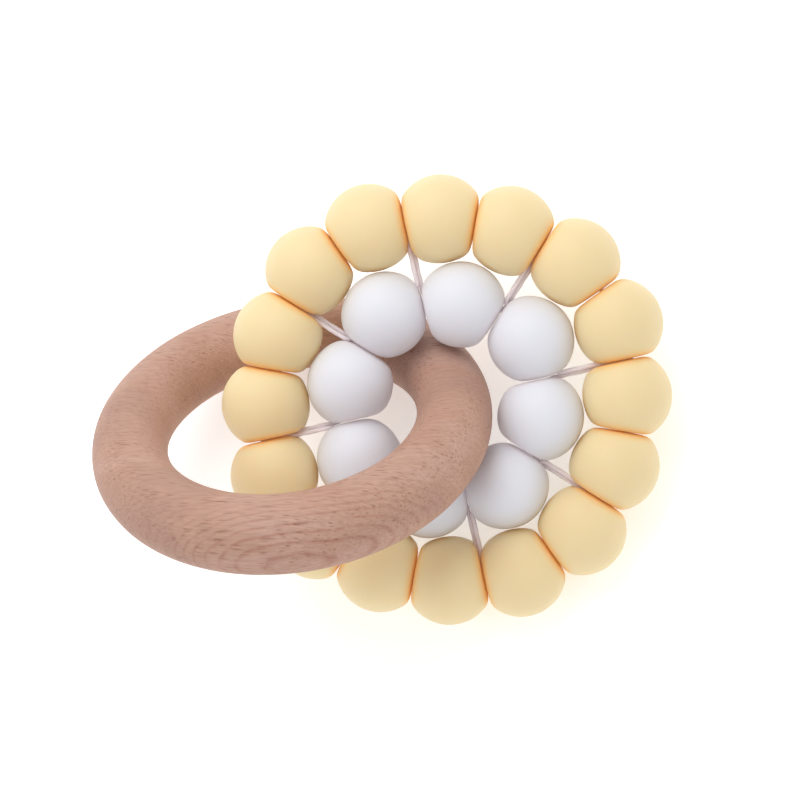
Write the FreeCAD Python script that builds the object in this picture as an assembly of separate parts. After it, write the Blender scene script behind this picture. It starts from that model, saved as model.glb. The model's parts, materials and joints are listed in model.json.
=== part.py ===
import FreeCAD, Part
import math
import os

# Teething ring: a beech ring linked through a double ring of silicone beads.
# All lengths are in millimetres. The object lies on a table at z = 0.
#
# The bead loop is designed in its own frame: its centre is the origin, its
# axis is z, and bead groups repeat every 45 degrees round it. The whole set
# is then turned by LOOP_TURN, TABLE_TILT and TABLE_TURN, and set down so that
# its lowest point is on the table and the middle of its box is over the origin.

# ---- wooden ring
WOOD_OUTER_DIAMETER = 67.9
WOOD_SECTION_DIAMETER = 12.7

# ---- silicone beads: nominal 15 mm balls, squeezed a little by the cord
OUTER_BEAD_DIAMETER = 15.4
INNER_BEAD_DIAMETER = 15.0
BORE_DIAMETER = 2.6
MOUTH_DIAMETER = 4.2
MOUTH_DEPTH = 1.2

# Radius of the circle on which each bead centre sits. Every second group is
# pulled in a little further than the one beside it.
OUTER_CIRCLE = {"far": 31.7, "near": 30.5}
INNER_CIRCLE = {"far": 17.9, "near": 16.6}
GROUPS = 8
OUTER_BEADS = 2 * GROUPS
GROUP_ANGLE = 360.0 / GROUPS
BEAD_ANGLE = 360.0 / OUTER_BEADS
PAIR_HALF_ANGLE = BEAD_ANGLE / 2

# Free room left between the flats that squeezed beads press together.
OUTER_FLAT_GAP = 0.24
INNER_FLAT_GAP = 0.30
CROSS_FLAT_GAP = 0.30

# ---- stringing cord: one length, two strands in each spoke
CORD_DIAMETER = 0.8
STRAND_LEVEL = 0.40
STRAND_SPREAD = 0.30
KNOT_SPOKE_SPREAD = 0.45
TURN_RADIUS = 1.2
PAIR_BEND_RADIUS = 10.0
KNOT_DIAMETER = 2.2
KNOT_LENGTH = 3.4
KNOT_OVERLAP = 0.1
KNOT_GROUP = 6

# ---- channel that the strands press into the flats beside each spoke
CHANNEL_WIDTH = 3.4
CHANNEL_CLEARANCE = 0.15
CHANNEL_OVERRUN = 1.8

# ---- how the wooden ring hangs in the bead loop (loop frame)
SWING_LINE_AZIMUTH = 199.6
SWING_LINE_ELEVATION = 7.0
WOOD_CENTRE_DISTANCE = 26.3
WOOD_LEAN = 54.0

# ---- how the set lies on the table: tilted so that the wooden ring and one
# side of the bead loop reach the table together
TABLE_TURN = -57.391
TABLE_TILT = 18.108
LOOP_TURN = 45.0

# ---- lengths of the cutting tools, all longer than what they cut
SLAB_SIZE = 120.0
BORE_TOOL_LENGTH = 30.0
RIM_TOOL_LENGTH = 3.0

ORIGIN = FreeCAD.Vector(0, 0, 0)
X_AXIS = FreeCAD.Vector(1, 0, 0)
Y_AXIS = FreeCAD.Vector(0, 1, 0)
Z_AXIS = FreeCAD.Vector(0, 0, 1)


def polar(radius, azimuth, z=0.0):
    """Point of the loop frame at a radius and an azimuth in degrees."""
    a = math.radians(azimuth)
    return FreeCAD.Vector(radius * math.cos(a), radius * math.sin(a), z)


def unit(vector):
    """Copy of a vector with length one."""
    copy = FreeCAD.Vector(vector)
    copy.normalize()
    return copy


def circle_of(circles, group):
    """Centre circle of a group: odd groups sit far out, even ones near."""
    return circles["far" if group % 2 else "near"]


def table_rotation():
    """Rotation that tips the loop frame to how it lies on the table."""
    turn = FreeCAD.Rotation(Z_AXIS, TABLE_TURN)
    tilt = FreeCAD.Rotation(Y_AXIS, TABLE_TILT)
    phase = FreeCAD.Rotation(Z_AXIS, LOOP_TURN)
    return turn.multiply(tilt).multiply(phase)


def slab_beyond(point, normal):
    """Large block that fills the far side of a plane."""
    block = Part.makeBox(SLAB_SIZE, SLAB_SIZE, SLAB_SIZE)
    block.translate(FreeCAD.Vector(-SLAB_SIZE / 2, -SLAB_SIZE / 2, 0))
    block.Placement = FreeCAD.Placement(
        point, FreeCAD.Rotation(Z_AXIS, unit(normal))
    ).multiply(block.Placement)
    return block


def spoke_normal(azimuth):
    """Unit tangent of the loop, normal to the half plane at an azimuth."""
    return polar(1.0, azimuth + 90.0)


def flat_at_plane(azimuth, side, offset):
    """Block that cuts a bead flat beside the half plane at an azimuth.

    side is -1 for a bead that lies before the plane, +1 for one after it.
    """
    outward = spoke_normal(azimuth) * (-side)
    return slab_beyond(outward * (-offset), outward)


def strand_channel(spoke, start, end):
    """Shallow radial channel beside a spoke, from one radius to another."""
    knot_spoke = spoke % GROUPS == KNOT_GROUP - 1
    spread = KNOT_SPOKE_SPREAD if knot_spoke else STRAND_SPREAD
    depth = spread + CORD_DIAMETER / 2 + CHANNEL_CLEARANCE
    lo, hi = min(start, end), max(start, end)
    bar = Part.makeBox(hi - lo, 2 * depth, CHANNEL_WIDTH)
    bar.translate(FreeCAD.Vector(lo, -depth, -CHANNEL_WIDTH / 2))
    bar.rotate(ORIGIN, Z_AXIS, spoke_azimuth_of(spoke))
    return bar


def bore(centre, azimuth, reach):
    """Hole through a bead with a countersunk mouth at both flats."""
    along = spoke_normal(azimuth)
    start = centre - along * (BORE_TOOL_LENGTH / 2)
    tool = Part.makeCylinder(BORE_DIAMETER / 2, BORE_TOOL_LENGTH, start, along)
    for direction in (along, along * -1):
        mouth = Part.makeCone(
            BORE_DIAMETER / 2,
            MOUTH_DIAMETER / 2,
            MOUTH_DEPTH,
            centre + direction * (reach - MOUTH_DEPTH),
            direction,
        )
        rim = Part.makeCylinder(
            MOUTH_DIAMETER / 2,
            RIM_TOOL_LENGTH,
            centre + direction * reach,
            direction,
        )
        tool = tool.fuse(mouth).fuse(rim)
    return tool


def outer_group(index):
    """Group of an outer bead: beads 2g - 1 and 2g, from 0, are pair g."""
    return ((index + 1) // 2) % GROUPS


def outer_azimuth(index):
    """Azimuth of an outer bead's centre."""
    return PAIR_HALF_ANGLE + BEAD_ANGLE * index


def outer_centre(index):
    """Centre of an outer bead."""
    radius = circle_of(OUTER_CIRCLE, outer_group(index))
    return polar(radius, outer_azimuth(index))


def inner_centre(group):
    """Centre of an inner bead."""
    return polar(circle_of(INNER_CIRCLE, group), group * GROUP_ANGLE)


def outer_bead(index):
    """One outer bead, flat where its neighbours and its inner bead press."""
    group = outer_group(index)
    azimuth = outer_azimuth(index)
    radius = circle_of(OUTER_CIRCLE, group)
    centre = outer_centre(index)
    shape = Part.makeSphere(OUTER_BEAD_DIAMETER / 2, centre)
    half_gap = OUTER_FLAT_GAP / 2

    before = azimuth - PAIR_HALF_ANGLE
    after = azimuth + PAIR_HALF_ANGLE
    shape = shape.cut(flat_at_plane(before, 1, half_gap))
    shape = shape.cut(flat_at_plane(after, -1, half_gap))

    partner = inner_centre(group)
    shape = shape.cut(cross_flat(centre, partner, OUTER_BEAD_DIAMETER))

    reach = radius * math.sin(math.radians(PAIR_HALF_ANGLE)) - half_gap
    shape = shape.cut(bore(centre, azimuth, reach))

    # the first bead of a pair has its spoke before it, the second after it
    spoke = index // 2
    return shape.cut(
        strand_channel(
            spoke, radius + CHANNEL_OVERRUN, radius - OUTER_BEAD_DIAMETER
        )
    )


def cross_flat(centre, partner, diameter):
    """Block that cuts the flat where an outer and an inner bead touch."""
    total = OUTER_BEAD_DIAMETER + INNER_BEAD_DIAMETER
    line = partner - centre
    reach = line.Length * diameter / total - CROSS_FLAT_GAP / 2
    direction = unit(line)
    return slab_beyond(centre + direction * reach, direction)


def inner_bead(group):
    """One inner bead, pressed against its neighbours and an outer pair."""
    azimuth = group * GROUP_ANGLE
    radius = circle_of(INNER_CIRCLE, group)
    centre = inner_centre(group)
    shape = Part.makeSphere(INNER_BEAD_DIAMETER / 2, centre)
    half_gap = INNER_FLAT_GAP / 2
    half_angle = GROUP_ANGLE / 2

    shape = shape.cut(flat_at_plane(azimuth - half_angle, 1, half_gap))
    shape = shape.cut(flat_at_plane(azimuth + half_angle, -1, half_gap))
    for sign in (-1, 1):
        partner = polar(
            circle_of(OUTER_CIRCLE, group), azimuth + sign * PAIR_HALF_ANGLE
        )
        shape = shape.cut(cross_flat(centre, partner, INNER_BEAD_DIAMETER))

    reach = radius * math.sin(math.radians(half_angle)) - half_gap
    shape = shape.cut(bore(centre, azimuth, reach))
    for spoke in (group - 1, group):
        shape = shape.cut(
            strand_channel(
                spoke, radius - CHANNEL_OVERRUN, radius + INNER_BEAD_DIAMETER
            )
        )
    return shape


def rounded_wire(corners):
    """Straight runs joined by tangent arcs; corners are (point, radius)."""
    edges = []
    radii = []
    at = corners[0][0]
    for i in range(1, len(corners) - 1):
        corner, radius = corners[i]
        back = unit(corners[i - 1][0] - corner)
        on = unit(corners[i + 1][0] - corner)
        opening = back.getAngle(on)
        trim = radius / math.tan(opening / 2)
        start = corner + back * trim
        end = corner + on * trim
        bisector = unit(back + on)
        depth = radius / math.sin(opening / 2) - radius
        middle = corner + bisector * depth
        edges.append(Part.LineSegment(at, start).toShape())
        edges.append(Part.Arc(start, middle, end).toShape())
        radii.append(radius)
        at = end
    edges.append(Part.LineSegment(at, corners[-1][0]).toShape())
    return Part.Wire(edges), radii


def spoke_azimuth_of(spoke):
    """Azimuth of the spoke that follows a group of the same number."""
    return GROUP_ANGLE / 2 + GROUP_ANGLE * spoke


def spoke_corner(circle, half_angle, spoke, level, shift):
    """Turn of the cord between a spoke and a bead on a centre circle."""
    radius = circle / math.cos(math.radians(half_angle))
    azimuth = spoke_azimuth_of(spoke)
    point = polar(radius, azimuth, level) + spoke_normal(azimuth) * shift
    return point, TURN_RADIUS


def outer_corner(group, spoke, level, shift):
    """Where the cord turns from a pair of outer beads into a spoke."""
    circle = circle_of(OUTER_CIRCLE, group)
    return spoke_corner(circle, PAIR_HALF_ANGLE, spoke, level, shift)


def inner_corner(group, spoke, level, shift):
    """Where the cord turns from a spoke into an inner bead."""
    circle = circle_of(INNER_CIRCLE, group)
    return spoke_corner(circle, GROUP_ANGLE / 2, spoke, level, shift)


def pair_bend(group, level):
    """Slight bend of the cord between the two beads of a pair."""
    radius = circle_of(OUTER_CIRCLE, group)
    radius = radius / math.cos(math.radians(PAIR_HALF_ANGLE))
    return polar(radius, group * GROUP_ANGLE, level), PAIR_BEND_RADIUS


def cord_corners():
    """Route of the cord: two passes round the loop in opposite senses.

    On the way out the cord runs through every second outer pair and every
    second inner bead. It turns back at the knot spoke and runs through the
    beads in between, so that each spoke ends up with two strands.
    """
    turn_spoke = KNOT_GROUP - 1
    knot_azimuth = KNOT_GROUP * GROUP_ANGLE - PAIR_HALF_ANGLE
    knot_radius = circle_of(OUTER_CIRCLE, KNOT_GROUP)
    knot_spot = polar(knot_radius, knot_azimuth, STRAND_LEVEL)
    along = spoke_normal(knot_azimuth)
    corners = [(knot_spot + along * KNOT_OVERLAP, 0.0)]

    # way out, groups rising, strands on the upper level
    for step in range(GROUPS):
        here = KNOT_GROUP + step
        if step % 2 == 0:
            if step > 0:
                corners.append(
                    outer_corner(here, here - 1, STRAND_LEVEL, STRAND_SPREAD)
                )
            corners.append(pair_bend(here, STRAND_LEVEL))
            corners.append(outer_corner(here, here, STRAND_LEVEL, STRAND_SPREAD))
        else:
            last = step == GROUPS - 1
            shift = -KNOT_SPOKE_SPREAD if last else STRAND_SPREAD
            corners.append(
                inner_corner(here, here - 1, STRAND_LEVEL, STRAND_SPREAD)
            )
            corners.append(inner_corner(here, here, STRAND_LEVEL, shift))

    # way back, groups falling, strands on the lower level
    for step in range(GROUPS):
        here = turn_spoke - step
        if step % 2 == 0:
            shift = -KNOT_SPOKE_SPREAD if step == 0 else -STRAND_SPREAD
            corners.append(outer_corner(here, here, -STRAND_LEVEL, shift))
            corners.append(pair_bend(here, -STRAND_LEVEL))
            corners.append(
                outer_corner(here, here - 1, -STRAND_LEVEL, -STRAND_SPREAD)
            )
        else:
            last = step == GROUPS - 1
            shift = KNOT_SPOKE_SPREAD if last else -STRAND_SPREAD
            corners.append(inner_corner(here, here, -STRAND_LEVEL, -STRAND_SPREAD))
            corners.append(inner_corner(here, here - 1, -STRAND_LEVEL, shift))

    corners.append(
        outer_corner(KNOT_GROUP, turn_spoke, STRAND_LEVEL, KNOT_SPOKE_SPREAD)
    )
    corners.append((knot_spot - along * KNOT_OVERLAP, 0.0))
    return corners


def knot():
    """Pulled-tight knot, an egg shape drawn into the bore of one bead."""
    azimuth = KNOT_GROUP * GROUP_ANGLE - PAIR_HALF_ANGLE
    egg = Part.makeSphere(KNOT_DIAMETER / 2)
    stretch = FreeCAD.Matrix()
    stretch.scale(1.0, KNOT_LENGTH / KNOT_DIAMETER, 1.0)
    egg = egg.transformGeometry(stretch)
    egg.rotate(ORIGIN, Z_AXIS, azimuth)
    egg.translate(polar(circle_of(OUTER_CIRCLE, KNOT_GROUP), azimuth))
    return egg


def stringing_cord():
    """The whole cord with its knot, one solid."""
    wire, radii = rounded_wire(cord_corners())
    first = wire.Edges[0]
    start = first.valueAt(first.FirstParameter)
    heading = first.tangentAt(first.FirstParameter)
    ring = Part.makeCircle(CORD_DIAMETER / 2, start, heading)
    tube = wire.makePipeShell([Part.Wire([ring])], True, False)
    ideal = math.pi * CORD_DIAMETER**2 / 4 * wire.Length
    print("cord length", round(wire.Length, 2), "mm")
    print("cord bend radii", sorted(set(radii)), "mm")
    print("cord volume", round(tube.Volume, 2), "section x length", round(ideal, 2))
    return tube.fuse(knot())


def swing_line():
    """Unit direction from the loop's centre to the wooden ring's centre."""
    level = math.cos(math.radians(SWING_LINE_ELEVATION))
    rise = math.sin(math.radians(SWING_LINE_ELEVATION))
    return polar(level, SWING_LINE_AZIMUTH, rise)


def wood_centre():
    """Centre of the wooden ring in the loop frame."""
    return swing_line() * WOOD_CENTRE_DISTANCE


def wood_axis():
    """Axis of the wooden ring in the loop frame, at rest."""
    side = swing_line().cross(Z_AXIS)
    upright = unit(side.cross(swing_line()))
    return FreeCAD.Rotation(swing_line(), WOOD_LEAN).multVec(upright)


def wood_ring():
    """Turned beech ring of round section."""
    section = WOOD_SECTION_DIAMETER / 2
    ring_radius = WOOD_OUTER_DIAMETER / 2 - section
    return Part.makeTorus(ring_radius, section, wood_centre(), wood_axis())


def all_pieces():
    """Every piece of the set in the loop frame, by name."""
    pieces = {"wood_ring": wood_ring()}
    for index in range(OUTER_BEADS):
        pieces["outer_bead_{:02d}".format(index + 1)] = outer_bead(index)
    for group in range(GROUPS):
        pieces["inner_bead_{:02d}".format(group + 1)] = inner_bead(group)
    pieces["stringing_cord"] = stringing_cord()
    return pieces


def overall_box(pieces):
    """Box that holds every piece."""
    whole = FreeCAD.BoundBox()
    for shape in pieces.values():
        whole.add(shape.optimalBoundingBox())
    return whole


def save(name, shape):
    """Write a piece's STEP file and print what it measures."""
    box = shape.optimalBoundingBox()
    print(
        name,
        "solids", len(shape.Solids),
        "volume", round(shape.Volume, 1),
        "valid", shape.isValid(),
        "z", round(box.ZMin, 3), round(box.ZMax, 3),
    )
    shape.exportStep("parts/" + name + ".step")


def print_frame(placement):
    """Print where the hinges are once the set lies on the table."""
    turn = placement.Rotation
    print(
        "swing line through", placement.Base,
        "along", turn.multVec(swing_line()),
    )
    print(
        "wooden ring centre", placement.multVec(wood_centre()),
        "axis", turn.multVec(wood_axis()),
    )
    for index in range(OUTER_BEADS):
        along = spoke_normal(outer_azimuth(index))
        spot = placement.multVec(outer_centre(index))
        print("outer", index + 1, spot, turn.multVec(along))
    for group in range(GROUPS):
        along = spoke_normal(group * GROUP_ANGLE)
        spot = placement.multVec(inner_centre(group))
        print("inner", group + 1, spot, turn.multVec(along))


def main():
    os.makedirs("parts", exist_ok=True)
    pieces = all_pieces()

    tipped = FreeCAD.Placement(ORIGIN, table_rotation())
    for shape in pieces.values():
        shape.Placement = tipped.multiply(shape.Placement)
    box = overall_box(pieces)
    down = FreeCAD.Vector(-box.Center.x, -box.Center.y, -box.ZMin)
    for name, shape in pieces.items():
        shape.translate(down)
        save(name, shape)
    print("overall", overall_box(pieces))
    print_frame(FreeCAD.Placement(down, table_rotation()))


main()
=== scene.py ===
import json
import math

import bpy
from mathutils import Matrix, Vector, noise


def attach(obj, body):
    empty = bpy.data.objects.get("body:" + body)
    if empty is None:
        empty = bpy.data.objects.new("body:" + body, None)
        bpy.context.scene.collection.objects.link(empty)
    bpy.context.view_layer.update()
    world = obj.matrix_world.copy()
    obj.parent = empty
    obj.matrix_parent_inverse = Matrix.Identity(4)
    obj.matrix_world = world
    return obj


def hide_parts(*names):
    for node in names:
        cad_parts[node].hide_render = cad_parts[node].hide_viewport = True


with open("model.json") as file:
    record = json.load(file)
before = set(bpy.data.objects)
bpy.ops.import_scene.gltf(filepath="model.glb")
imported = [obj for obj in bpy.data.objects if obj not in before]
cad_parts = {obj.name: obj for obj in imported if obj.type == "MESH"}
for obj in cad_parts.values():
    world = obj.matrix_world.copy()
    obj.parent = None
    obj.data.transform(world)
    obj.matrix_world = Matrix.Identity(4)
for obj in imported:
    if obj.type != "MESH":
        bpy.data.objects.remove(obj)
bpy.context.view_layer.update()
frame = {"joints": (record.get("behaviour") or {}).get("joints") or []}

MM = 0.001

# ---- the beads, as in the CAD model
OUTER_BEAD_RADIUS = 7.7 * MM
INNER_BEAD_RADIUS = 7.5 * MM
BORE_RADIUS = 1.3 * MM
GROUPS = 8
GROUP_ANGLE = math.radians(45.0)
PAIR_HALF_ANGLE = math.radians(11.25)

# ---- looks of the squeezed silicone, and the reach of the painted shade and glow in its creases
FLAT_GAP = 0.14 * MM
CROSS_FLAT_GAP = 0.12 * MM
CROSS_FLAT_SHARE = 0.40
OUTER_SOFTNESS = 0.36 * MM
INNER_SOFTNESS = 0.38 * MM
CROSS_SOFTNESS = 1.8 * MM
# how far from a flat the painted crease shade and glow reach, how much of it a
# cross flat gets, and how fast it falls off
CREASE_PAINT_REACH = 1.3 * MM
CROSS_CREASE_PAINT = 0.6
CREASE_PAINT_FALL = 1.5

# ---- room that a spoke's strands press into the flats beside them
STRAND_ROOM = 0.84 * MM
ROOM_HALF_WIDTH = 0.9 * MM
ROOM_FADE_WIDTH = 1.9 * MM
ROOM_RUN_IN = 1.5 * MM

# ---- the wooden ring and how it hangs from the bead loop
WOOD_RING_RADIUS = 27.6 * MM
WOOD_SECTION_RADIUS = 6.35 * MM
WOOD_CENTRE_DISTANCE = 26.3 * MM
WOOD_LEAN = math.radians(54.0)
SANDING_SCALE = 110.0
SANDING_HEIGHT = 0.05 * MM
SANDING_DROP = 0.03 * MM

# ---- grain of the beech: the dashes' cells are (along, across, across)
LAYER_THICKNESS = 1.15
LAYER_TURN = math.radians(-16.0)
LAYER_SLOPE = 0.22
LAYER_WANDER = 2.6
FRONT_SLOPE = -0.11
FRONT_START = -2.65
FRONT_STRENGTH = 0.55
BASE_STRENGTH = 0.16
FLECK_LAYERS = (
    ((0.20, 1.8, 1.8), 0.50, math.radians(6.0)),
    ((0.15, 1.3, 1.3), 0.36, math.radians(-2.0)),
    ((0.30, 2.5, 2.5), 0.42, math.radians(2.0)),
)

# ---- the stringing cord
STRAND_RADIUS = 0.40 * MM
STRAND_LEVEL = 0.40 * MM
STRAND_SPREAD = 0.30 * MM
KNOT_SPOKE_SPREAD = 0.45 * MM
KNOT_GROUP = 6
KNOT_RADIUS = 1.1 * MM
KNOT_LENGTH = 3.4 * MM
KNOT_FULLNESS = 0.93
KNOT_LUMP = 0.07
KNOT_TWIST = 9.0 * math.pi
CORD_STEP = 0.28 * MM
LAY_LENGTH = 3.2 * MM
STRAND_COUNT = 3.0
STRAND_SWELL = 0.10
STRAND_FULLNESS = 0.95
CORNER_RUN = 1.9 * MM
CORNER_SHARE = 0.3

# ---- fineness of the meshes
BEAD_COLUMNS = 72
BEAD_ROWS = 52
BORE_ROWS = 9
BORE_LINING = 0.97
RING_COLUMNS = 240
RING_SECTION = 72
CORD_SIDES = 18
KNOT_SIDES = 28
KNOT_ROWS = 40
FLOOR_STEPS = 8

# ---- camera
VIEW_DISTANCE = 300 * MM
LENS = 79.6
SENSOR_WIDTH = 36.0
NEAR_CLIP = 0.01
FAR_CLIP = 20.0
CAMERA_YAW = math.radians(14.63)
CAMERA_PITCH = math.radians(14.02)
AIM = Vector((3.2, 0.0, 19.3)) * MM

# ---- studio
FLOOR_SIZE = 8.0
FLOOR_GLOW = 0.33
SKY_LIGHT = 0.70
HORIZON_LIGHT = 0.32


# ------------------------------------------------------------------ frame

JOINTS = {joint["child"]: joint for joint in frame["joints"]}
LOOP_CENTRE = Vector(JOINTS["wood_ring"]["pos_m"])
SWING_LINE = Vector(JOINTS["wood_ring"]["axis"]).normalized()


def bead_axes(name):
    """Centre, outward radial, bore direction and loop axis of a bead."""
    centre = Vector(JOINTS[name]["pos_m"])
    along = Vector(JOINTS[name]["axis"]).normalized()
    radial = (centre - LOOP_CENTRE).normalized()
    return centre, radial, along, radial.cross(along)


LOOP_AXIS = bead_axes("inner_bead_01")[3].normalized()
LOOP_START = bead_axes("inner_bead_01")[1]
LOOP_SIDE = LOOP_AXIS.cross(LOOP_START)


def loop_radius(name):
    """Distance of a bead's centre from the centre of the bead loop."""
    return (Vector(JOINTS[name]["pos_m"]) - LOOP_CENTRE).length


def axes_matrix(origin, x, y, z):
    """Matrix that places local axes x, y, z at an origin."""
    matrix = Matrix((x, y, z)).transposed().to_4x4()
    matrix.translation = origin
    return matrix


# -------------------------------------------------------------- materials


def new_material(name):
    """New material; returns it with its node tree and Principled shader."""
    material = bpy.data.materials.new(name)
    material.use_nodes = True
    tree = material.node_tree
    tree.nodes.clear()
    output = tree.nodes.new("ShaderNodeOutputMaterial")
    shader = tree.nodes.new("ShaderNodeBsdfPrincipled")
    tree.links.new(shader.outputs["BSDF"], output.inputs["Surface"])
    return material, tree, shader


def srgb(red, green, blue):
    """Linear colour of an 8-bit sRGB colour."""

    def linear(value):
        value = value / 255.0
        if value <= 0.04045:
            return value / 12.92
        return ((value + 0.055) / 1.055) ** 2.4

    return (linear(red), linear(green), linear(blue), 1.0)


def grey(level):
    """Opaque neutral colour."""
    return (level, level, level, 1.0)


def object_millimetres(tree, stretch=(1.0, 1.0, 1.0), turn=0.0):
    """Object coordinates in millimetres, turned about z and stretched."""
    coordinates = tree.nodes.new("ShaderNodeTexCoord")
    turned = tree.nodes.new("ShaderNodeMapping")
    turned.inputs["Rotation"].default_value = (0.0, 0.0, turn)
    turned.inputs["Scale"].default_value = (1000.0, 1000.0, 1000.0)
    tree.links.new(coordinates.outputs["Object"], turned.inputs["Vector"])
    scaled = tree.nodes.new("ShaderNodeMapping")
    scaled.inputs["Scale"].default_value = stretch
    tree.links.new(turned.outputs["Vector"], scaled.inputs["Vector"])
    return scaled.outputs["Vector"]


def noise_value(
    tree, vector, scale, detail=3.0, roughness=0.55, distortion=0.0
):
    """Noise from 0 to 1 at a vector."""
    node = tree.nodes.new("ShaderNodeTexNoise")
    node.inputs["Scale"].default_value = scale
    node.inputs["Detail"].default_value = detail
    node.inputs["Roughness"].default_value = roughness
    node.inputs["Distortion"].default_value = distortion
    tree.links.new(vector, node.inputs["Vector"])
    return node.outputs["Fac"]


def ramp(tree, value, stops):
    """Colour ramp through (position, colour) stops."""
    node = tree.nodes.new("ShaderNodeValToRGB")
    elements = node.color_ramp.elements
    while len(elements) > 1:
        elements.remove(elements[-1])
    elements[0].position, elements[0].color = stops[0]
    for position, colour in stops[1:]:
        element = elements.new(position)
        element.color = colour
    tree.links.new(value, node.inputs["Fac"])
    return node.outputs["Color"]


def mix(tree, factor, first, second, blend="MIX"):
    """Mix of two colours; each input is a socket or a constant."""
    node = tree.nodes.new("ShaderNodeMix")
    node.data_type = "RGBA"
    node.blend_type = blend
    for value, socket in (
        (factor, node.inputs[0]),
        (first, node.inputs[6]),
        (second, node.inputs[7]),
    ):
        if isinstance(value, bpy.types.NodeSocket):
            tree.links.new(value, socket)
        else:
            socket.default_value = value
    return node.outputs[2]


def arithmetic(tree, operation, first, second, third=None, clamp=False):
    """Math node; each input is a socket or a number."""
    node = tree.nodes.new("ShaderNodeMath")
    node.operation = operation
    node.use_clamp = clamp
    for index, value in enumerate((first, second, third)):
        if isinstance(value, bpy.types.NodeSocket):
            tree.links.new(value, node.inputs[index])
        elif value is not None:
            node.inputs[index].default_value = value
    return node.outputs[0]


def bump(tree, shader, height, distance, strength=1.0):
    """Bump of a height socket on a shader."""
    node = tree.nodes.new("ShaderNodeBump")
    node.inputs["Strength"].default_value = strength
    node.inputs["Distance"].default_value = distance
    tree.links.new(height, node.inputs["Height"])
    tree.links.new(node.outputs["Normal"], shader.inputs["Normal"])


def silicone(name, body, cloudy, painted_crease_colour, painted_glow, radii):
    """Matte food-grade silicone, with painted warm shade and glow in the
    creases where two beads press together.
    """
    material, tree, shader = new_material(name)
    place = object_millimetres(tree)
    clouds = noise_value(tree, place, 0.12, 2.0)
    colour = mix(tree, clouds, body, cloudy)

    # painted warm shade in the creases: the colour turns to the crease colour
    # where beads touch
    crease_shade_and_glow = tree.nodes.new("ShaderNodeAttribute")
    crease_shade_and_glow.attribute_name = "crease_shade_and_glow"
    colour = mix(tree, crease_shade_and_glow.outputs["Fac"], colour, painted_crease_colour)
    tree.links.new(colour, shader.inputs["Base Color"])

    # painted glow where two beads touch, standing in for light that comes
    # through the neighbour: the silicone emits though it is no lamp
    shader.inputs["Emission Color"].default_value = painted_crease_colour
    painted_glow_level = arithmetic(tree, "MULTIPLY", crease_shade_and_glow.outputs["Fac"], painted_glow)
    tree.links.new(painted_glow_level, shader.inputs["Emission Strength"])

    smudge = noise_value(tree, place, 0.5, 4.0)
    rough = arithmetic(tree, "MULTIPLY_ADD", smudge, 0.12, 0.46)
    tree.links.new(rough, shader.inputs["Roughness"])

    skin = noise_value(tree, place, 9.0, 2.0)
    bump(tree, shader, skin, 0.010 * MM, 0.5)

    shader.subsurface_method = "RANDOM_WALK"
    shader.inputs["Subsurface Weight"].default_value = 0.55
    shader.inputs["Subsurface Radius"].default_value = radii
    shader.inputs["Subsurface Scale"].default_value = 1.0 * MM
    shader.inputs["Specular IOR Level"].default_value = 0.35
    return material


def growth_lines(tree):
    """Latewood lines where growth layers meet the surface, from 0 to 1."""
    turned = object_millimetres(tree, (1.0, 1.0, 1.0), LAYER_TURN)
    wander = noise_value(tree, turned, 0.06, 2.0, 0.5)
    axes = tree.nodes.new("ShaderNodeSeparateXYZ")
    tree.links.new(turned, axes.inputs["Vector"])
    depth = arithmetic(
        tree, "MULTIPLY_ADD", axes.outputs["Z"], LAYER_SLOPE, axes.outputs["Y"]
    )
    depth = arithmetic(tree, "MULTIPLY_ADD", wander, LAYER_WANDER, depth)
    layer = arithmetic(tree, "DIVIDE", depth, LAYER_THICKNESS)
    phase = arithmetic(tree, "FRACT", layer, None)
    late = ramp(
        tree,
        phase,
        [
            (0.00, grey(0.35)),
            (0.10, grey(0.0)),
            (0.62, grey(0.0)),
            (0.90, grey(1.0)),
            (1.00, grey(0.35)),
        ],
    )
    # the layers show best where they are cut flat, on the front of the ring
    front = arithmetic(
        tree, "MULTIPLY_ADD", axes.outputs["Y"], FRONT_SLOPE, FRONT_START, True
    )
    strength = arithmetic(
        tree, "MULTIPLY_ADD", front, FRONT_STRENGTH, BASE_STRENGTH
    )
    broken = noise_value(tree, turned, 0.55, 3.0, 0.6)
    broken = ramp(
        tree,
        broken,
        [(0.38, grey(0.25)), (0.56, grey(1.0))],
    )
    lines = arithmetic(tree, "MULTIPLY", late, strength)
    return arithmetic(tree, "MULTIPLY", lines, broken)


def ray_flecks(tree):
    """Short dark dashes along the grain, from 0 to 1."""
    flecks = None
    for cell, density, bend in FLECK_LAYERS:
        fleck_at = object_millimetres(tree, cell, bend)
        cells = tree.nodes.new("ShaderNodeTexVoronoi")
        cells.inputs["Scale"].default_value = 1.0
        cells.inputs["Randomness"].default_value = 0.95
        tree.links.new(fleck_at, cells.inputs["Vector"])
        near = ramp(
            tree,
            cells.outputs["Distance"],
            [(0.08, grey(1.0)), (0.33, grey(0.0))],
        )
        split = tree.nodes.new("ShaderNodeSeparateColor")
        tree.links.new(cells.outputs["Color"], split.inputs["Color"])
        chosen = arithmetic(tree, "LESS_THAN", split.outputs[0], density)
        depth = arithmetic(tree, "MULTIPLY_ADD", split.outputs[1], 0.6, 0.4)
        fleck = arithmetic(tree, "MULTIPLY", near, chosen)
        fleck = arithmetic(tree, "MULTIPLY", fleck, depth)
        if flecks is None:
            flecks = fleck
        else:
            flecks = arithmetic(tree, "MAXIMUM", flecks, fleck)
    patches_at = object_millimetres(tree, (0.05, 0.12, 0.12))
    patches = noise_value(tree, patches_at, 1.0, 2.0, 0.5)
    busy = ramp(
        tree,
        patches,
        [(0.38, grey(0.30)), (0.56, grey(1.0))],
    )
    return arithmetic(tree, "MULTIPLY", flecks, busy)


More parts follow.
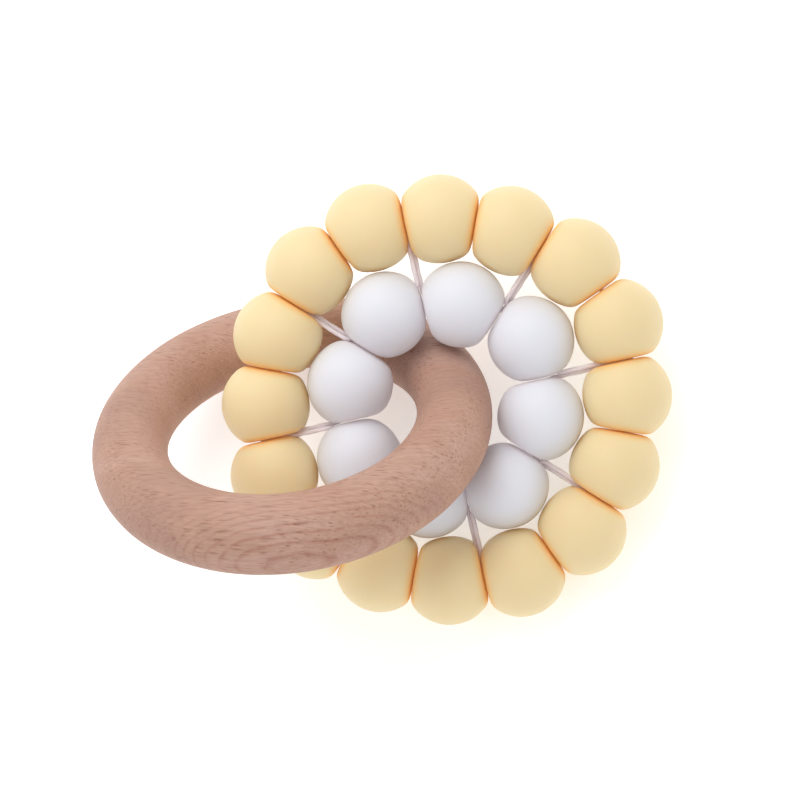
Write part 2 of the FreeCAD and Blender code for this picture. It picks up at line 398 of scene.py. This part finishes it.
def beech(name):
    """Sanded steamed beech: fibres, growth lines and short dark ray flecks."""
    material, tree, shader = new_material(name)

    # broad warm and grey areas of the plank
    areas_at = object_millimetres(tree, (0.025, 0.07, 0.07))
    areas = noise_value(tree, areas_at, 1.0, 2.0, 0.5, 0.8)
    colour = ramp(
        tree,
        areas,
        [
            (0.32, srgb(181, 143, 127)),
            (0.50, srgb(191, 151, 132)),
            (0.68, srgb(198, 161, 146)),
        ],
    )

    lines = growth_lines(tree)
    colour = mix(
        tree,
        arithmetic(tree, "MULTIPLY", lines, 0.85, clamp=True),
        colour,
        srgb(158, 98, 80),
    )

    # fine fibres along the plank
    fibres_at = object_millimetres(tree, (0.22, 3.0, 3.0))
    fibres = noise_value(tree, fibres_at, 1.0, 5.0, 0.66)
    fibre_colour = ramp(
        tree,
        fibres,
        [(0.34, (0.82, 0.79, 0.78, 1.0)), (0.60, grey(1.04))],
    )
    colour = mix(tree, 0.80, colour, fibre_colour, "MULTIPLY")

    flecks = ray_flecks(tree)
    colour = mix(
        tree,
        arithmetic(tree, "MULTIPLY", flecks, 0.80, clamp=True),
        colour,
        srgb(134, 86, 66),
    )
    tree.links.new(colour, shader.inputs["Base Color"])

    rough = arithmetic(tree, "MULTIPLY_ADD", fibres, 0.20, 0.46)
    tree.links.new(rough, shader.inputs["Roughness"])
    height = arithmetic(tree, "MULTIPLY_ADD", flecks, -0.6, fibres)
    bump(tree, shader, height, 0.05 * MM, 0.7)
    shader.inputs["Specular IOR Level"].default_value = 0.30
    shader.inputs["Subsurface Weight"].default_value = 0.04
    shader.inputs["Subsurface Radius"].default_value = (1.0, 0.6, 0.4)
    shader.inputs["Subsurface Scale"].default_value = 0.5 * MM
    return material


def nylon(name):
    """Satin twisted nylon, off-white with a pink cast."""
    material, tree, shader = new_material(name)
    place = object_millimetres(tree)
    fuzz = noise_value(tree, place, 3.0, 4.0)
    colour = mix(tree, fuzz, srgb(252, 242, 246), srgb(242, 228, 234))
    tree.links.new(colour, shader.inputs["Base Color"])
    rough = arithmetic(tree, "MULTIPLY_ADD", fuzz, 0.2, 0.32)
    tree.links.new(rough, shader.inputs["Roughness"])
    bump(tree, shader, fuzz, 0.03 * MM, 0.6)
    shader.inputs["Sheen Weight"].default_value = 0.3
    shader.inputs["Subsurface Weight"].default_value = 0.2
    shader.inputs["Subsurface Radius"].default_value = (1.0, 0.9, 0.9)
    shader.inputs["Subsurface Scale"].default_value = 0.5 * MM
    return material


# ------------------------------------------------------------------ pieces


def new_piece(name, vertices, faces, material, matrix=None):
    """Smooth-shaded mesh object with one material."""
    mesh = bpy.data.meshes.new(name)
    mesh.from_pydata(vertices, [], faces)
    mesh.validate()
    mesh.materials.append(material)
    mesh.shade_smooth()
    piece = bpy.data.objects.new(name, mesh)
    bpy.context.scene.collection.objects.link(piece)
    if matrix is not None:
        piece.matrix_world = matrix
    return piece


def ring_faces(rings, count, closed):
    """Quads between rings of vertices laid one after another."""
    faces = []
    last = rings if closed else rings - 1
    for i in range(last):
        here = i * count
        there = (i + 1) % rings * count
        for j in range(count):
            k = (j + 1) % count
            faces.append((here + j, here + k, there + k, there + j))
    return faces


def smooth_step(value, low, high):
    """Smooth rise from 0 at low to 1 at high."""
    t = min(1.0, max(0.0, (value - low) / (high - low)))
    return t * t * (3.0 - 2.0 * t)


def press(point, radius, normal, reach, softness):
    """Point pressed back from a neighbour, most of all where they touch.

    The middle of the flat ends up at reach, and its edge is rounded off.
    """
    depth = math.expm1((radius - reach) / softness)
    plane = radius - softness * math.log(depth)
    back = math.log1p(math.exp((point.dot(normal) - plane) / softness))
    return point - normal * back * softness


def bead_mesh(radius, flats, spokes):
    """Vertices, faces and painted crease shade and glow values of one squeezed
    bead.

    Local y runs along the bore, x points away from the loop's centre.
    flats are (unit normal, distance, softness) where it is pressed, the two
    junctions with the beads of its own row first.
    spokes are (unit normal, distance, side) of the flats with a spoke,
    where side is -1 if the strands leave inwards and +1 if outwards.
    """
    around, rows = BEAD_COLUMNS, BEAD_ROWS
    cap = math.asin(BORE_RADIUS / radius)
    vertices, crease_shade_and_glow = [], []
    for i in range(rows + 1):
        share = i / rows
        polar = cap + (math.pi - 2.0 * cap) * share
        for j in range(around):
            turn = 2.0 * math.pi * j / around
            direction = Vector(
                (
                    math.sin(polar) * math.cos(turn),
                    math.cos(polar),
                    math.sin(polar) * math.sin(turn),
                )
            )
            point = direction * radius
            for normal, distance, softness in flats:
                point = press(point, radius, normal, distance, softness)
            # mask of the painted shade and glow in the creases, strongest at
            # the flats of its own row and weaker at the cross flats
            painted_crease_amount = 0.0
            for normal, distance, _ in flats[:2]:
                room = distance - point.dot(normal)
                painted_crease_amount = max(painted_crease_amount, 1.0 - room / CREASE_PAINT_REACH)
            for normal, distance, _ in flats[2:]:
                room = distance - point.dot(normal)
                painted_crease_amount = max(painted_crease_amount, CROSS_CREASE_PAINT - room / CREASE_PAINT_REACH)
            for normal, distance, side in spokes:
                room = distance - point.dot(normal)
                beside = 1.0 - smooth_step(
                    abs(point.z), ROOM_HALF_WIDTH, ROOM_FADE_WIDTH
                )
                leaving = smooth_step(point.x * side, 0.0, ROOM_RUN_IN)
                need = STRAND_ROOM * beside * leaving
                if room < need:
                    point = point - normal * (need - room)
            vertices.append(point)
            crease_shade_and_glow.append(max(0.0, min(1.0, painted_crease_amount)) ** CREASE_PAINT_FALL)

    # rounded mouths and the bore itself
    first, last = vertices[:around], vertices[-around:]
    for i in range(1, BORE_ROWS):
        share = i / BORE_ROWS
        for j in range(around):
            end, start = first[j], last[j]
            point = start.lerp(end, share)
            across = Vector((point.x, 0.0, point.z))
            inner = across.normalized() * BORE_RADIUS * BORE_LINING
            vertices.append(Vector((inner.x, point.y, inner.z)))
            # the bore gets the full painted crease shade and glow
            crease_shade_and_glow.append(1.0)
    rings = rows + BORE_ROWS
    return vertices, ring_faces(rings, around, True), crease_shade_and_glow


def make_bead(name, radius, flats, spokes, material):
    """One bead as its own piece on its own body."""
    centre, radial, along, up = bead_axes(name)
    vertices, faces, crease_shade_and_glow = bead_mesh(radius, flats, spokes)
    matrix = axes_matrix(centre, radial, along, up)
    piece = new_piece(name + "_silicone", vertices, faces, material, matrix)
    # stores the mask of the painted crease shade and glow on the mesh
    layer = piece.data.attributes.new("crease_shade_and_glow", "FLOAT", "POINT")
    layer.data.foreach_set("value", crease_shade_and_glow)
    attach(piece, name)
    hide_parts(name)


def junction(angle, sign, distance, softness):
    """Flat towards the next bead (sign 1) or the one before (sign -1)."""
    normal = Vector((-math.sin(angle), sign * math.cos(angle), 0.0))
    return normal, distance - FLAT_GAP / 2, softness


def touching(radius, other_radius, angle, own, share, other):
    """Flat where an outer and an inner bead touch, in a bead's own axes.

    share is how much of the squeeze this bead takes.
    """
    ahead = other_radius * math.cos(angle) - radius
    partner = Vector((ahead, other_radius * math.sin(angle), 0.0))
    squeeze = own + other - partner.length
    reach = own - squeeze * share - CROSS_FLAT_GAP / 2
    return partner.normalized(), reach, CROSS_SOFTNESS


def make_outer_beads(material):
    """Outer row: pairs of beads pressed on each other and on an inner bead."""
    for index in range(2 * GROUPS):
        name = "outer_bead_%02d" % (index + 1)
        inner = "inner_bead_%02d" % (((index + 1) // 2) % GROUPS + 1)
        radius = loop_radius(name)
        reach = radius * math.sin(PAIR_HALF_ANGLE)
        first = index % 2 == 0
        partner_angle = -PAIR_HALF_ANGLE if first else PAIR_HALF_ANGLE
        flats = [
            junction(PAIR_HALF_ANGLE, 1, reach, OUTER_SOFTNESS),
            junction(PAIR_HALF_ANGLE, -1, reach, OUTER_SOFTNESS),
            touching(
                radius,
                loop_radius(inner),
                partner_angle,
                OUTER_BEAD_RADIUS,
                1.0 - CROSS_FLAT_SHARE,
                INNER_BEAD_RADIUS,
            ),
        ]
        normal, distance, _ = flats[0] if first else flats[1]
        spokes = [(normal, distance, -1)]
        make_bead(
            name,
            OUTER_BEAD_RADIUS,
            flats,
            spokes,
            material,
        )


def make_inner_beads(material):
    """Inner row: each bead pressed on its neighbours and an outer pair."""
    half = GROUP_ANGLE / 2
    for group in range(GROUPS):
        name = "inner_bead_%02d" % (group + 1)
        outer = "outer_bead_%02d" % (2 * group + 1)
        radius = loop_radius(name)
        reach = radius * math.sin(half)
        flats = [
            junction(half, sign, reach, INNER_SOFTNESS) for sign in (1, -1)
        ]
        spokes = [(normal, distance, 1) for normal, distance, _ in flats]
        for sign in (-1, 1):
            flats.append(
                touching(
                    radius,
                    loop_radius(outer),
                    sign * PAIR_HALF_ANGLE,
                    INNER_BEAD_RADIUS,
                    CROSS_FLAT_SHARE,
                    OUTER_BEAD_RADIUS,
                )
            )
        make_bead(
            name,
            INNER_BEAD_RADIUS,
            flats,
            spokes,
            material,
        )


def wood_axes():
    """Matrix of the wooden ring; z is its axis, x points along the grain."""
    centre = LOOP_CENTRE + SWING_LINE * WOOD_CENTRE_DISTANCE
    upright = SWING_LINE.cross(LOOP_AXIS).cross(SWING_LINE).normalized()
    axis = Matrix.Rotation(WOOD_LEAN, 3, SWING_LINE) @ upright
    grain = Vector((1.0, 0.0, 0.0))
    grain = (grain - axis * grain.dot(axis)).normalized()
    return axes_matrix(centre, grain, axis.cross(grain), axis)


def make_wood_ring(material):
    """Turned ring of round section, very slightly uneven from sanding."""
    around, section = RING_COLUMNS, RING_SECTION
    vertices = []
    for i in range(around):
        turn = 2.0 * math.pi * i / around
        out = Vector((math.cos(turn), math.sin(turn), 0.0))
        for j in range(section):
            lean = 2.0 * math.pi * j / section
            side = out * math.cos(lean) + Vector((0.0, 0.0, math.sin(lean)))
            spot = out * WOOD_RING_RADIUS + side * WOOD_SECTION_RADIUS
            uneven = noise.noise(spot * SANDING_SCALE) * SANDING_HEIGHT
            vertices.append(spot + side * (uneven - SANDING_DROP))
    faces = ring_faces(around, section, True)
    piece = new_piece(
        "wood_ring_beech", vertices, faces, material, wood_axes()
    )
    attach(piece, "wood_ring")
    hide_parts("wood_ring")


# -------------------------------------------------------------------- cord


def loop_point(radius, angle, level=0.0, shift=0.0):
    """Point of the bead loop; shift is sideways, level along its axis."""
    out = LOOP_START * math.cos(angle) + LOOP_SIDE * math.sin(angle)
    side = LOOP_AXIS.cross(out)
    return LOOP_CENTRE + out * radius + side * shift + LOOP_AXIS * level


def outer_radius(group):
    """Radius at which the cord passes the junctions of an outer pair."""
    name = "outer_bead_%02d" % (2 * (group % GROUPS) + 1)
    return loop_radius(name) / math.cos(PAIR_HALF_ANGLE)


def inner_radius(group):
    """Radius at which the cord passes the junctions of an inner bead."""
    name = "inner_bead_%02d" % (group % GROUPS + 1)
    return loop_radius(name) / math.cos(GROUP_ANGLE / 2)


def spoke_angle(spoke):
    """Angle of the spoke that follows a group of the same number."""
    return GROUP_ANGLE * (spoke + 0.5)


def cord_route():
    """Corners of the cord: two passes round the loop in opposite senses."""
    turn_spoke = KNOT_GROUP - 1
    knot_angle = KNOT_GROUP * GROUP_ANGLE - PAIR_HALF_ANGLE
    knot_name = "outer_bead_%02d" % (2 * KNOT_GROUP)
    corners = [loop_point(loop_radius(knot_name), knot_angle, STRAND_LEVEL)]

    for step in range(GROUPS):
        here = KNOT_GROUP + step
        middle = here * GROUP_ANGLE
        before, after = spoke_angle(here - 1), spoke_angle(here)
        if step % 2 == 0:
            radius = outer_radius(here)
            if step > 0:
                corners.append(
                    loop_point(radius, before, STRAND_LEVEL, STRAND_SPREAD)
                )
            corners.append(loop_point(radius, middle, STRAND_LEVEL))
            corners.append(
                loop_point(radius, after, STRAND_LEVEL, STRAND_SPREAD)
            )
        else:
            radius = inner_radius(here)
            last = step == GROUPS - 1
            shift = -KNOT_SPOKE_SPREAD if last else STRAND_SPREAD
            corners.append(
                loop_point(radius, before, STRAND_LEVEL, STRAND_SPREAD)
            )
            corners.append(loop_point(radius, after, STRAND_LEVEL, shift))

    for step in range(GROUPS):
        here = turn_spoke - step
        middle = here * GROUP_ANGLE
        before, after = spoke_angle(here), spoke_angle(here - 1)
        if step % 2 == 0:
            radius = outer_radius(here)
            shift = -KNOT_SPOKE_SPREAD if step == 0 else -STRAND_SPREAD
            corners.append(loop_point(radius, before, -STRAND_LEVEL, shift))
            corners.append(loop_point(radius, middle, -STRAND_LEVEL))
            corners.append(
                loop_point(radius, after, -STRAND_LEVEL, -STRAND_SPREAD)
            )
        else:
            radius = inner_radius(here)
            last = step == GROUPS - 1
            shift = KNOT_SPOKE_SPREAD if last else -STRAND_SPREAD
            corners.append(
                loop_point(radius, before, -STRAND_LEVEL, -STRAND_SPREAD)
            )
            corners.append(loop_point(radius, after, -STRAND_LEVEL, shift))

    corners.append(
        loop_point(
            outer_radius(KNOT_GROUP),
            spoke_angle(turn_spoke),
            STRAND_LEVEL,
            KNOT_SPOKE_SPREAD,
        )
    )
    return corners


def smooth_path(corners):
    """Closed NURBS line through the route, tight at each corner."""
    points = []
    count = len(corners)
    for i, corner in enumerate(corners):
        back = corners[i - 1] - corner
        on = corners[(i + 1) % count] - corner
        near = min(
            CORNER_RUN, back.length * CORNER_SHARE, on.length * CORNER_SHARE
        )
        points.append(corner + back.normalized() * near)
        points.append(corner)
        points.append(corner + on.normalized() * near)
    curve = bpy.data.curves.new("cord_line", "CURVE")
    curve.dimensions = "3D"
    spline = curve.splines.new("NURBS")
    spline.points.add(len(points) - 1)
    for point, control in zip(points, spline.points):
        control.co = (*point, 1.0)
    spline.order_u = 3
    spline.use_cyclic_u = True
    spline.resolution_u = 6
    line = bpy.data.objects.new("cord_line", curve)
    mesh = bpy.data.meshes.new_from_object(line)
    path = [vertex.co.copy() for vertex in mesh.vertices]
    bpy.data.objects.remove(line)
    bpy.data.curves.remove(curve)
    bpy.data.meshes.remove(mesh)
    return path


def resample(path, step):
    """Points at even spacing along a closed path."""
    lengths = [0.0]
    closed = path + [path[0]]
    for a, b in zip(closed, closed[1:]):
        lengths.append(lengths[-1] + (b - a).length)
    count = int(lengths[-1] / step)
    points, k = [], 0
    for i in range(count):
        target = lengths[-1] * i / count
        while lengths[k + 1] < target:
            k += 1
        span = max(1e-9, lengths[k + 1] - lengths[k])
        part = (target - lengths[k]) / span
        points.append(closed[k].lerp(closed[k + 1], part))
    return points


def make_cord(material):
    """The laid cord: a three-stranded twist along the whole route."""
    path = resample(smooth_path(cord_route()), CORD_STEP)
    count = len(path)
    turns = round(count * CORD_STEP / LAY_LENGTH)
    vertices = []
    for i, point in enumerate(path):
        tangent = (path[(i + 1) % count] - path[i - 1]).normalized()
        up = (LOOP_AXIS - tangent * LOOP_AXIS.dot(tangent)).normalized()
        side = tangent.cross(up)
        lay = 2.0 * math.pi * turns * i / count
        for j in range(CORD_SIDES):
            turn = 2.0 * math.pi * j / CORD_SIDES
            swell = 1.0 + STRAND_SWELL * math.cos(STRAND_COUNT * turn - lay)
            spoke = (up * math.cos(turn) + side * math.sin(turn)) * swell
            vertices.append(point + spoke * STRAND_RADIUS * STRAND_FULLNESS)
    faces = ring_faces(count, CORD_SIDES, True)
    piece = new_piece("stringing_cord_twist", vertices, faces, material)
    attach(piece, "bead_loop")
    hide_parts("stringing_cord")


def make_knot(material):
    """Pulled-tight knot inside its bore: a small lumpy barrel of turns."""
    name = "outer_bead_%02d" % (2 * KNOT_GROUP)
    centre, radial, along, up = bead_axes(name)
    sides, rows = KNOT_SIDES, KNOT_ROWS
    vertices = []
    for i in range(rows):
        share = (i + 0.5) / rows
        t = 2.0 * share - 1.0
        body = KNOT_RADIUS * (1.0 - t**4) ** 0.5 * KNOT_FULLNESS
        for j in range(sides):
            turn = 2.0 * math.pi * j / sides
            wave = math.sin(2.0 * turn + KNOT_TWIST * share)
            lump = 1.0 + KNOT_LUMP * wave
            vertices.append(
                Vector(
                    (
                        body * lump * math.cos(turn),
                        t * KNOT_LENGTH / 2,
                        body * lump * math.sin(turn),
                    )
                )
            )
    faces = ring_faces(rows, sides, False)
    faces.append(tuple(range(sides)))
    faces.append(tuple(reversed(range((rows - 1) * sides, rows * sides))))
    matrix = axes_matrix(centre, radial, along, up)
    piece = new_piece("stringing_cord_knot", vertices, faces, material, matrix)
    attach(piece, "bead_loop")


# --------------------------------------------------------- floor and light


def make_floor():
    """Plain white sweep that the toy lies on."""
    size, steps = FLOOR_SIZE, FLOOR_STEPS
    vertices, faces = [], []
    for i in range(steps + 1):
        for j in range(steps + 1):
            across = (i / steps - 0.5) * size
            away = (j / steps - 0.5) * size
            vertices.append(Vector((across, away, 0.0)))
    for i in range(steps):
        for j in range(steps):
            a = i * (steps + 1) + j
            faces.append((a, a + steps + 1, a + steps + 2, a + 1))
    material, tree, shader = new_material("floor_white")
    place = object_millimetres(tree)
    paper = noise_value(tree, place, 0.02, 2.0)
    colour = mix(tree, paper, grey(0.97), grey(0.95))
    tree.links.new(colour, shader.inputs["Base Color"])
    shader.inputs["Roughness"].default_value = 0.9
    shader.inputs["Specular IOR Level"].default_value = 0.1
    shader.inputs["Emission Color"].default_value = grey(1.0)
    shader.inputs["Emission Strength"].default_value = FLOOR_GLOW
    new_piece("floor", vertices, faces, material)


def camera_matrix():
    """Place of the camera, which looks down on the toy from above."""
    yaw = Matrix.Rotation(CAMERA_YAW, 4, "Y")
    turn = yaw @ Matrix.Rotation(CAMERA_PITCH, 4, "X")
    back = turn @ Vector((0.0, 0.0, 1.0))
    return Matrix.Translation(AIM + back * VIEW_DISTANCE) @ turn


def make_camera():
    """Long lens, as a product shot is taken."""
    data = bpy.data.cameras.new("camera")
    data.lens = LENS
    data.sensor_width = SENSOR_WIDTH
    data.clip_start = NEAR_CLIP
    data.clip_end = FAR_CLIP
    camera = bpy.data.objects.new("camera", data)
    bpy.context.scene.collection.objects.link(camera)
    camera.matrix_world = camera_matrix()
    bpy.context.scene.camera = camera


def area_light(name, position, size, power, colour):
    """Softbox at a position, turned towards the toy."""
    data = bpy.data.lights.new(name, "AREA")
    data.shape = "DISK"
    data.size = size
    data.energy = power
    data.color = colour
    light = bpy.data.objects.new(name, data)
    bpy.context.scene.collection.objects.link(light)
    light.location = position
    aim = (AIM - Vector(position)).to_track_quat("-Z", "Y")
    light.rotation_euler = aim.to_euler()


def make_lights():
    """Large soft key from above and behind, and a weak wide fill."""
    area_light("key", (-0.03, 0.16, 0.30), 0.26, 0.40, (1.0, 0.99, 0.98))
    area_light("fill", (-0.40, -0.10, 0.55), 0.60, 0.5, (0.97, 0.98, 1.0))


def make_surroundings():
    """White surroundings, a little brighter towards the horizon."""
    world = bpy.data.worlds.new("studio")
    world.use_nodes = True
    tree = world.node_tree
    direction = tree.nodes.new("ShaderNodeTexCoord")
    axes = tree.nodes.new("ShaderNodeSeparateXYZ")
    tree.links.new(direction.outputs["Generated"], axes.inputs["Vector"])
    low = ramp(
        tree,
        axes.outputs["Z"],
        [(0.12, grey(1.0)), (0.34, grey(0.0))],
    )
    strength = arithmetic(tree, "MULTIPLY_ADD", low, HORIZON_LIGHT, SKY_LIGHT)
    background = tree.nodes["Background"]
    background.inputs["Color"].default_value = grey(1.0)
    tree.links.new(strength, background.inputs["Strength"])
    bpy.context.scene.world = world


def main():
    make_camera()
    make_floor()
    make_lights()
    make_surroundings()
    bpy.context.scene.view_settings.view_transform = "Standard"

    yellow = silicone(
        "silicone_pale_yellow",
        srgb(240, 220, 175),
        srgb(238, 217, 170),
        # colour of the painted crease shade and glow, then the strength of the
        # painted glow
        srgb(243, 194, 122),
        0.085,
        (3.1, 2.4, 1.5),
    )
    white = silicone(
        "silicone_white",
        srgb(231, 232, 238),
        srgb(228, 229, 236),
        # colour of the painted crease shade and glow, then the strength of the
        # painted glow
        srgb(228, 222, 225),
        0.10,
        (2.8, 2.6, 2.6),
    )
    make_outer_beads(yellow)
    make_inner_beads(white)
    make_wood_ring(beech("beech_sanded"))
    cord_material = nylon("nylon_satin")
    make_cord(cord_material)
    make_knot(cord_material)


main()
